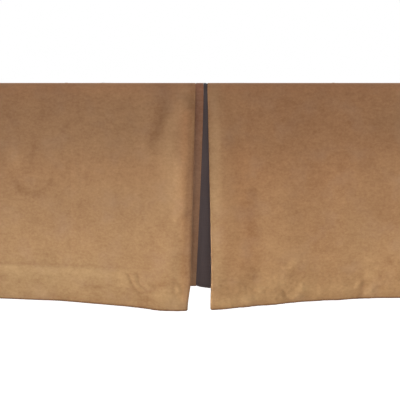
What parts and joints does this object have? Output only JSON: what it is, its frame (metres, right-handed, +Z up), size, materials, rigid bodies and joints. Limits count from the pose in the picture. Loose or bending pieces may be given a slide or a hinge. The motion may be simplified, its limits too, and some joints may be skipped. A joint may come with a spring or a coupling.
{
  "type": "bed skirt on a bed base",
  "caption": "Tailored cloth bed skirt with inverted pleats over dark inserts, hanging to the floor round a plain legged bed base.",
  "frame": {"origin": "on the floor under the middle of the whole thing, skirt and base", "axes": "+Z up, -Y out of the foot end with its centre pleat, +Y towards the head end, X across the bed"},
  "size_m": [1.6382, 2.0931, 0.3954],
  "materials": {
    "skirt_tan_suede": "tan brushed suede cloth",
    "pleat_dark_cloth": "dark brown grey plain cloth",
    "deck_white_cotton": "white plain cotton",
    "base_grey_ticking": "light grey woven cover",
    "leg_dark_wood": "dark stained wood"
  },
  "bodies": {
    "root": {"foot_drop_left": "skirt_tan_suede", "foot_drop_right": "skirt_tan_suede", "left_drop_foot": "skirt_tan_suede", "left_drop_head": "skirt_tan_suede", "right_drop_foot": "skirt_tan_suede", "right_drop_head": "skirt_tan_suede", "foot_insert": "pleat_dark_cloth", "left_insert": "pleat_dark_cloth", "right_insert": "pleat_dark_cloth", "corner_insert_left": "pleat_dark_cloth", "corner_insert_right": "pleat_dark_cloth", "deck": "deck_white_cotton", "bed_base": "base_grey_ticking", "leg_foot_left": "leg_dark_wood", "leg_foot_right": "leg_dark_wood", "leg_middle_left": "leg_dark_wood", "leg_middle_right": "leg_dark_wood", "leg_head_left": "leg_dark_wood", "leg_head_right": "leg_dark_wood"}
  },
  "joints": []
}
